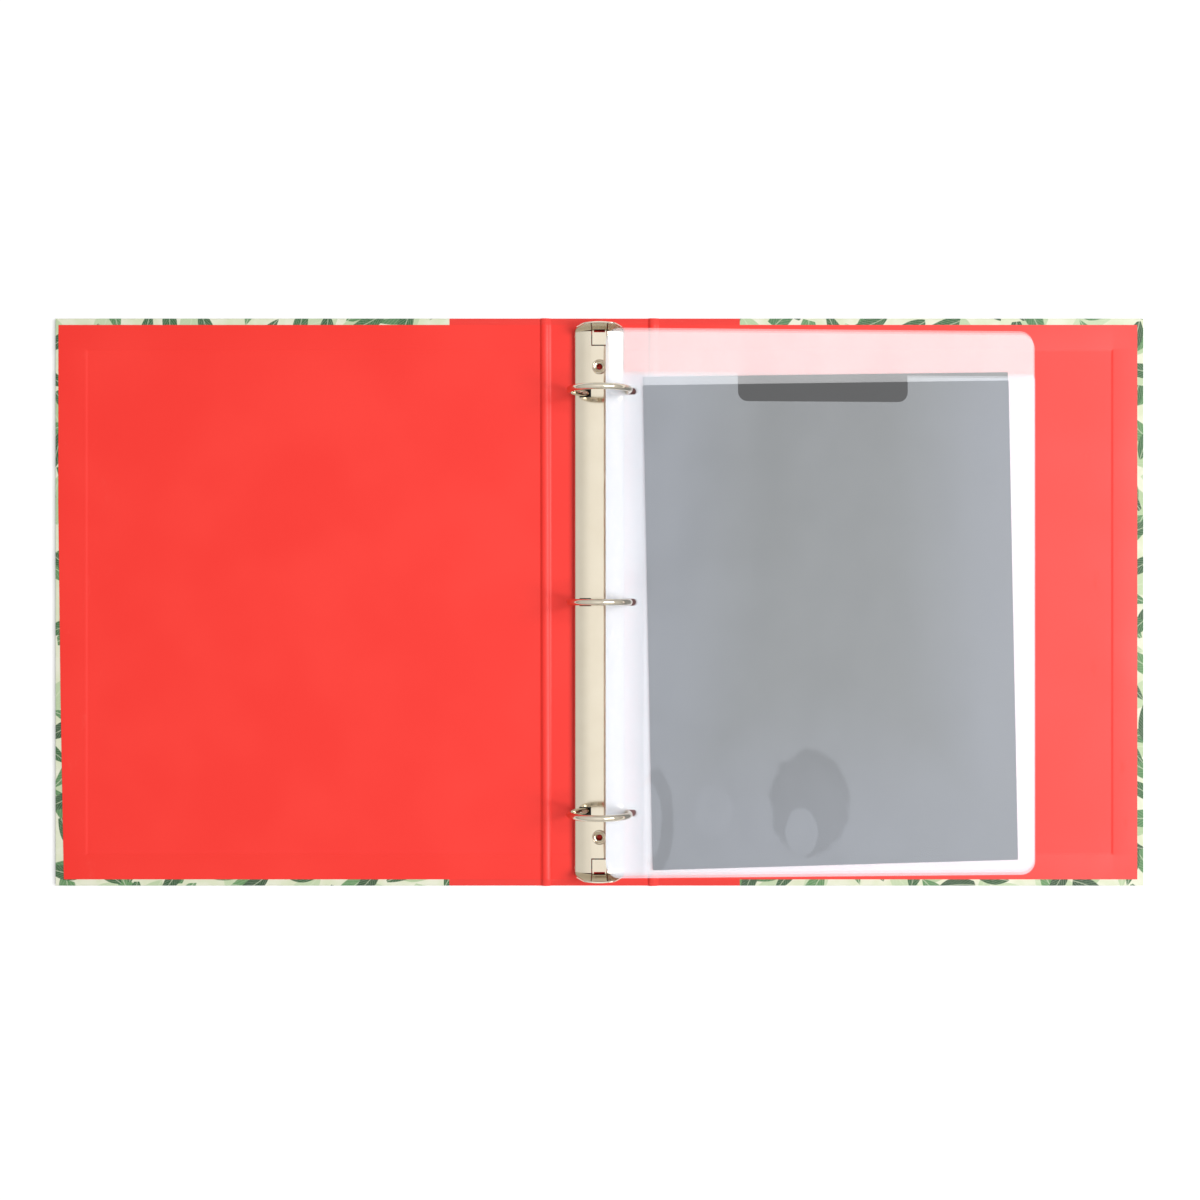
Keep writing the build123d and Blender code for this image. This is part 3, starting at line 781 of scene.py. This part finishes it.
def page_pieces(number):
    """The two films of a page and the weld that joins them round its pocket."""
    shift = PAGE_SHIFTS[number - 1]
    near, far = BINDING_EDGE, BINDING_EDGE + PAGE_WIDTH
    tail, head = shift - PAGE_HEIGHT / 2, shift + PAGE_HEIGHT / 2
    mouth = head - MOUTH
    punches = ring_punches(number)
    body = f"page_{number}"

    backing = blank((near, tail), (far, head), 0.0)
    round_corners(backing, lambda p: True, PAGE_CORNER)
    modify(backing, "SOLIDIFY", thickness=FILM, offset=1.0)
    cut(backing, punches)
    tidy(backing)
    lay_on_page(backing, number, 0.0)
    hand_over(backing, f"{body}_back_sheet", "page_film", [f"{body}_backing_film"], body)

    pocket = blank((near, tail), (far, mouth), 0.0)
    round_corners(pocket, lambda p: p.y < 0, PAGE_CORNER)
    modify(pocket, "SOLIDIFY", thickness=FILM, offset=1.0)
    notch_middle = (near + far) / 2 + NOTCH_SHIFT
    notch = blank(
        (notch_middle - NOTCH_LENGTH / 2, mouth - NOTCH_DEPTH),
        (notch_middle + NOTCH_LENGTH / 2, mouth + NOTCH_DEPTH),
        -3 * MM,
    )
    round_corners(notch, lambda p: True, NOTCH_CORNER)
    modify(notch, "SOLIDIFY", thickness=8 * MM, offset=1.0)
    cut(pocket, [*punches, notch])
    tidy(pocket)
    lay_on_page(pocket, number, FILM + POCKET)
    hand_over(pocket, f"{body}_pocket_sheet", "page_film", [f"{body}_pocket_film"], body)
    pocket.data.materials[0] = finishes["pocket_film"]

    weld = blank((near, tail), (far, head), 0.0)
    round_corners(weld, lambda p: True, PAGE_CORNER)
    open_up(weld)
    bpy.ops.mesh.select_mode(type="FACE")
    bpy.ops.mesh.select_all(action="SELECT")
    bpy.ops.mesh.inset(thickness=SEAM)
    bpy.ops.mesh.delete(type="FACE")
    bpy.ops.mesh.select_mode(type="VERT")
    lift(
        weld,
        lambda p: near + SEAM * 0.9 < p.x < near + PAGE_CORNER + SEAM
        and tail + SEAM * 0.9 < p.y < head - SEAM * 0.9,
        (BINDING_STRIP - SEAM, 0, 0),
    )
    bpy.ops.mesh.select_all(action="SELECT")
    bpy.ops.mesh.bisect(plane_co=(0, mouth, 0), plane_no=(0, 1, 0), clear_outer=True)
    bpy.ops.object.mode_set(mode="OBJECT")
    modify(weld, "SOLIDIFY", thickness=POCKET * 0.88, offset=1.0)
    cut(weld, punches)
    tidy(weld)
    lay_on_page(weld, number, FILM + POCKET * 0.06)
    hand_over(
        weld, f"{body}_weld", "page_film",
        [f"{body}_binding_strip", f"{body}_tail_seam", f"{body}_side_seam"], body,
    )
    weld.data.materials[0] = finishes["film_weld"]
    discard([*punches, notch])
    for piece in (backing, pocket, weld):
        piece.visible_shadow = False
        piece.visible_diffuse = False


for page_number in (1, 2, 3):
    page_pieces(page_number)


# ---------------------------------------------------------------- mechanism


def turned(profile, centre):
    """Body turned about an upright axis: a circle extruded from ring to ring and closed."""
    radius, height = profile[0]
    bpy.ops.mesh.primitive_circle_add(
        vertices=48, radius=radius * MM, location=(*centre, height * MM)
    )
    piece = bpy.context.object
    bpy.ops.object.transform_apply(location=True, rotation=True, scale=True)
    open_up(piece)
    bpy.ops.mesh.select_all(action="SELECT")
    for new_radius, new_height in (*profile[1:], profile[0]):
        bpy.ops.mesh.extrude_region_move(
            TRANSFORM_OT_translate={"value": (0, 0, (new_height - height) * MM)}
        )
        grow = new_radius / radius
        bpy.ops.transform.resize(
            value=(grow, grow, 1.0), center_override=(*centre, new_height * MM)
        )
        radius, height = new_radius, new_height
    bpy.ops.object.mode_set(mode="OBJECT")
    tidy(piece, 40.0)
    return piece


# Outline of a rolled rivet from the foot of its bore round to its mouth: radius and height, in mm
RIVET = (
    (1.3, 0.25), (4.5, 0.25), (4.5, 0.85), (2.2, 0.85), (2.2, 8.45), (3.5, 8.45), (3.75, 8.7),
    (3.8, 9.1), (3.62, 9.45), (3.25, 9.62), (2.9, 9.5), (2.65, 9.1), (2.5, 8.75), (2.3, 8.7),
    (2.12, 9.05), (1.92, 9.3), (1.68, 9.2), (1.48, 8.8), (1.3, 8.2),
)


def rivets():
    """Tubular rivets that hold the shield down, their ends rolled over."""
    for place in ("head", "tail"):
        low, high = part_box(f"{place}_rivet")
        centre = ((low.x + high.x) / 2, (low.y + high.y) / 2)
        piece = turned(RIVET, centre)
        hand_over(piece, f"{place}_rivet_rolled", "nickel", [f"{place}_rivet"], "spine")


rivets()


# Rows of a lever tab from foot to tip, in mm: distance along, half width, reach, height
TAB_ROWS = (
    (0.0, 13.0, 0.6, 5.25), (1.3, 13.0, 0.62, 6.5), (2.9, 13.0, 0.75, 8.1), (4.6, 13.0, 1.1, 9.8),
    (5.6, 12.6, 1.45, 10.8), (7.6, 11.2, 2.1, 12.7), (9.6, 9.7, 2.65, 14.6), (11.4, 8.4, 3.0, 16.4),
    (12.6, 7.4, 3.1, 17.5), (13.2, 6.4, 3.1, 18.0), (13.5, 5.2, 3.08, 18.25),
)
TAB_HALF = 13.0
TAB_DISH = 0.5
TAB_THICKNESS = 0.8 * MM
TAB_EDGE = 0.22 * MM
ARM_REACH = 0.4 * MM  # past the shield's end


def thumb_tab(end):
    """Dished tab of a lever: full width at its foot, narrower and leaning outwards above."""
    top = TAB_ROWS[-1][0]
    piece = blank((-TAB_HALF * MM, 0.0), (TAB_HALF * MM, top * MM), 0.0)
    open_up(piece)
    for row, *_ in TAB_ROWS[1:-1]:
        score((0, row * MM, 0), (0, 1, 0))
    columns = (3.0, 6.0, 9.0, 11.5, TAB_HALF)
    for column in columns[:-1]:
        for side in (-1, 1):
            score((side * column * MM, 0, 0), (1, 0, 0))
    for row, _, reach, height in reversed(TAB_ROWS):
        lift(
            piece,
            lambda p: abs(p.y - row * MM) < 0.01 * MM and p.z < 1e-6,
            (0, shield_end + (reach - row) * MM, height * MM),
        )
    for column in columns:
        lift(
            piece,
            lambda p: abs(abs(p.x) - column * MM) < 0.01 * MM,
            (0, -TAB_DISH * (column / TAB_HALF) ** 2 * MM, 0),
        )
    for _, half, _, height in TAB_ROWS:
        if half < TAB_HALF:
            pick(piece, lambda p: abs(p.z - height * MM) < 0.01 * MM)
            bpy.ops.transform.resize(
                value=(half / TAB_HALF, 1.0, 1.0), center_override=(0.0, shield_end, height * MM)
            )
    bpy.ops.object.mode_set(mode="OBJECT")
    if end < 0:
        only(piece)
        bpy.ops.transform.mirror(constraint_axis=(False, True, False), center_override=(0, 0, 0))
        bpy.ops.object.transform_apply(location=True, rotation=True, scale=True)
    tidy(piece)
    modify(piece, "SOLIDIFY", thickness=TAB_THICKNESS, offset=0.0)
    modify(piece, "BEVEL", width=TAB_EDGE, segments=2, limit_method="ANGLE")
    tidy(piece, 50.0)
    return piece


def levers():
    """Opening levers: the folded arm under the shield, and a dished thumb tab outside it."""
    for place, end in (("head", 1), ("tail", -1)):
        node = nodes[f"{place}_lever"]
        arm = node.copy()
        arm.data = node.data.copy()
        bpy.context.scene.collection.objects.link(arm)
        for tag in list(arm.keys()):
            del arm[tag]
        arm.parent = None
        open_up(arm)
        bpy.ops.mesh.select_all(action="SELECT")
        bpy.ops.mesh.customdata_custom_splitnormals_clear()
        bpy.ops.mesh.remove_doubles(threshold=0.001 * MM)
        bpy.ops.mesh.select_all(action="SELECT")
        bpy.ops.mesh.bisect(
            plane_co=(0, end * (shield_end + ARM_REACH), 0), plane_no=(0, end, 0),
            clear_outer=True, use_fill=True,
        )
        bpy.ops.object.mode_set(mode="OBJECT")
        tab = thumb_tab(end)
        only(arm)
        tab.select_set(True)
        bpy.ops.object.join()
        bpy.ops.object.shade_smooth_by_angle(angle=radians(40.0))
        hand_over(arm, f"{place}_thumb_lever", "nickel", [f"{place}_lever"], f"{place}_lever")


levers()


# ---------------------------------------------------------------- studio

WHITE = (1.0, 1.0, 1.0, 1.0)
PALE = (0.80, 0.80, 0.80, 1.0)
FLOOR_SIZE = 40.0
FLOOR_DROP = 0.2 * MM
AROUND = 0.37  # strength of the light from all round
SOFTBOX_PLACE = (1.48, -0.03, 2.2)
SOFTBOX_SIZE = 1.55
SOFTBOX_POWER = 62.0
CAMERA_PLACE = (0.3 * MM, 1.1 * MM, 828.0 * MM)
LENS = 47.6


def pale_floor():
    """Plain floor that looks white, and takes the album's shadow."""
    bpy.ops.mesh.primitive_plane_add(size=FLOOR_SIZE, location=(0.0, 0.0, -FLOOR_DROP))
    floor = bpy.context.object
    floor.name = "studio_floor"
    f = Finish("pale_floor")
    straight = f.add("ShaderNodeLightPath", output="Is Camera Ray")
    glossy = Value(f, straight.socket.node.outputs["Is Glossy Ray"])
    through = Value(f, straight.socket.node.outputs["Is Transmission Ray"])
    seen = straight.maths("MAXIMUM", straight, glossy)
    seen = seen.maths("MAXIMUM", seen, through)
    cover = f.add("ShaderNodeBsdfDiffuse", None, {"Color": PALE})
    x, y, _ = f.parts(f.place())
    far = f.step(x * x + y * y, 4e5, 2e7, 0.34, 0.60)
    glow = f.add("ShaderNodeEmission", None, {"Color": WHITE, "Strength": seen * far})
    both = f.add("ShaderNodeAddShader", None, {0: cover, 1: glow})
    f.add("ShaderNodeOutputMaterial", None, {"Surface": both})
    floor.data.materials.append(f.owner)


def surroundings():
    """Even light from all round. Metal shows it brighter overhead than near the horizon."""
    world = bpy.data.worlds.new("studio_light")
    bpy.context.scene.world = world
    w = Finish("studio_light", world)
    straight = w.add("ShaderNodeLightPath", output="Is Camera Ray")
    glossy = Value(w, straight.socket.node.outputs["Is Glossy Ray"])
    _, _, up = w.parts(w.add("ShaderNodeTexCoord", output="Generated"))
    dome = w.step(up, 0.02, 0.35, 0.46, 0.78) + w.step(up, 0.45, 0.9, 0.0, 0.18)
    dome = dome + w.step(up, 0.86, 1.0, 0.0, 0.36)
    glow = straight * 0.95 + glossy * dome + (1.0 - straight - glossy) * AROUND
    back = w.add("ShaderNodeBackground", None, {"Color": WHITE, "Strength": glow})
    w.add("ShaderNodeOutputWorld", None, {"Surface": back})


def softbox():
    """Square soft lamp to the right, aimed at the middle of the album."""
    lamp = bpy.data.lights.new("right_softbox", "AREA")
    lamp.shape = "SQUARE"
    lamp.size = SOFTBOX_SIZE
    lamp.energy = SOFTBOX_POWER
    holder = bpy.data.objects.new("right_softbox", lamp)
    bpy.context.scene.collection.objects.link(holder)
    holder.location = SOFTBOX_PLACE
    holder.rotation_euler = (-Vector(SOFTBOX_PLACE)).to_track_quat("-Z", "Y").to_euler()


def overhead_camera():
    """Camera straight above the open album."""
    lens = bpy.data.cameras.new("camera")
    lens.lens = LENS
    lens.sensor_width = 36.0
    lens.clip_start = 0.01
    camera = bpy.data.objects.new("camera", lens)
    bpy.context.scene.collection.objects.link(camera)
    camera.location = CAMERA_PLACE
    bpy.context.scene.camera = camera


pale_floor()
surroundings()
softbox()
overhead_camera()
bpy.context.scene.view_settings.view_transform = "Standard"
bpy.context.scene.cycles.transparent_max_bounces = 48

bpy.context.view_layer.update()
